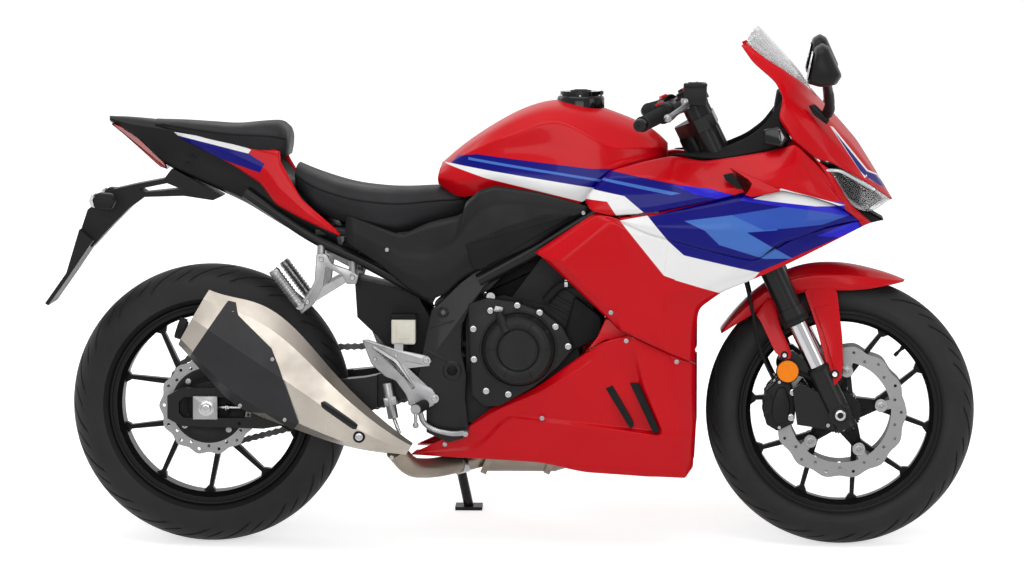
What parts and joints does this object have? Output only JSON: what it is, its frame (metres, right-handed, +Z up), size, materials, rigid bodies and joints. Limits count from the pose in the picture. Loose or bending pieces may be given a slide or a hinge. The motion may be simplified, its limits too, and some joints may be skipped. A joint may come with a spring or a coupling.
{
  "type": "sport motorcycle",
  "caption": "Faired sport motorcycle leaning on its side stand, with turning wheels and steering, a folding stand and an opening fuel lid.",
  "frame": {"origin": "middle of the footprint on the floor, under the middle of the bounding box", "axes": "+X towards the front, +Y to the rider's left, +Z up; the bike leans towards +Y on its side stand"},
  "size_m": [2.0769, 0.7457, 1.1756],
  "materials": {
    "red_paint": "gloss",
    "black_plastic": "satin",
    "seat_cover": "matte",
    "frame_paint": "satin",
    "engine_casting": "satin",
    "wheel_paint": "semi-gloss",
    "steel": "brushed",
    "chromed": "polished",
    "caliper_black": "anodised",
    "rubber": "matte",
    "tyre": "matte",
    "screen": "clear",
    "lens": "clear",
    "lamp_red": "gloss",
    "cup": "gloss"
  },
  "bodies": {
    "chassis": {"frame": "frame_paint", "subframe": "frame_paint", "engine": "engine_casting", "engine_covers": "engine_casting", "radiator": "caliper_black", "exhaust_pipes": "steel", "muffler": "steel", "muffler_shield": "caliper_black", "tank": "red_paint", "rider_seat": "seat_cover", "pillion_seat": "seat_cover", "tail_cowl": "black_plastic", "tail_panels": "red_paint", "tail_light": "lamp_red", "plate_bracket": "black_plastic", "signals": "black_plastic", "side_covers": "black_plastic", "side_fairings": "red_paint", "belly_fairings": "red_paint", "nose_fairing": "red_paint", "windscreen": "screen", "headlights": "lens", "cockpit": "black_plastic", "mirrors": "black_plastic", "swingarm": "frame_paint", "chain": "steel", "rear_shock": "engine_casting", "rear_caliper": "caliper_black", "rider_footrests": "black_plastic", "pillion_footrests": "frame_paint", "brake_reservoir": "cup", "inner_fender": "black_plastic"},
    "fork": {"yokes": "frame_paint", "fork_tubes": "frame_paint", "fork_sliders": "chromed", "fork_bottoms": "frame_paint", "handlebars": "frame_paint", "grips": "rubber", "controls": "black_plastic", "levers": "steel", "front_fender": "red_paint", "front_calipers": "caliper_black", "brake_hoses": "rubber"},
    "front_wheel": {"front_rim": "wheel_paint", "front_tyre": "tyre", "front_discs": "steel"},
    "rear_wheel": {"rear_rim": "wheel_paint", "rear_tyre": "tyre", "rear_disc": "steel", "sprocket": "steel"},
    "side_stand": {"side_stand": "frame_paint"},
    "fuel_cap": {"fuel_cap": "caliper_black"}
  },
  "joints": [
    {"name": "steering", "type": "hinge", "parent": "chassis", "child": "fork", "pos_m": [0.69269, -0.11274, 0.28242], "axis": [-0.4305, 0.1412, 0.8915], "range_deg": [-33, 33]},
    {"name": "front_spin", "type": "hinge", "parent": "fork", "child": "front_wheel", "pos_m": [0.72609, -0.11024, 0.29816], "axis": [0, 0.9877, -0.1564], "continuous": true},
    {"name": "rear_spin", "type": "hinge", "parent": "chassis", "child": "rear_wheel", "pos_m": [-0.68391, -0.10837, 0.31001], "axis": [0, 0.9877, -0.1564], "continuous": true},
    {"name": "stand_fold", "type": "hinge", "parent": "chassis", "child": "side_stand", "pos_m": [-0.15939, 0.04628, 0.24086], "axis": [0.1867, 0.9276, 0.3235], "range_deg": [0, 84]},
    {"name": "cap_hinge", "type": "hinge", "parent": "chassis", "child": "fuel_cap", "pos_m": [0.19147, 0.00073, 0.99884], "axis": [0, 0.9877, -0.1564], "range_deg": [0, 100]}
  ]
}
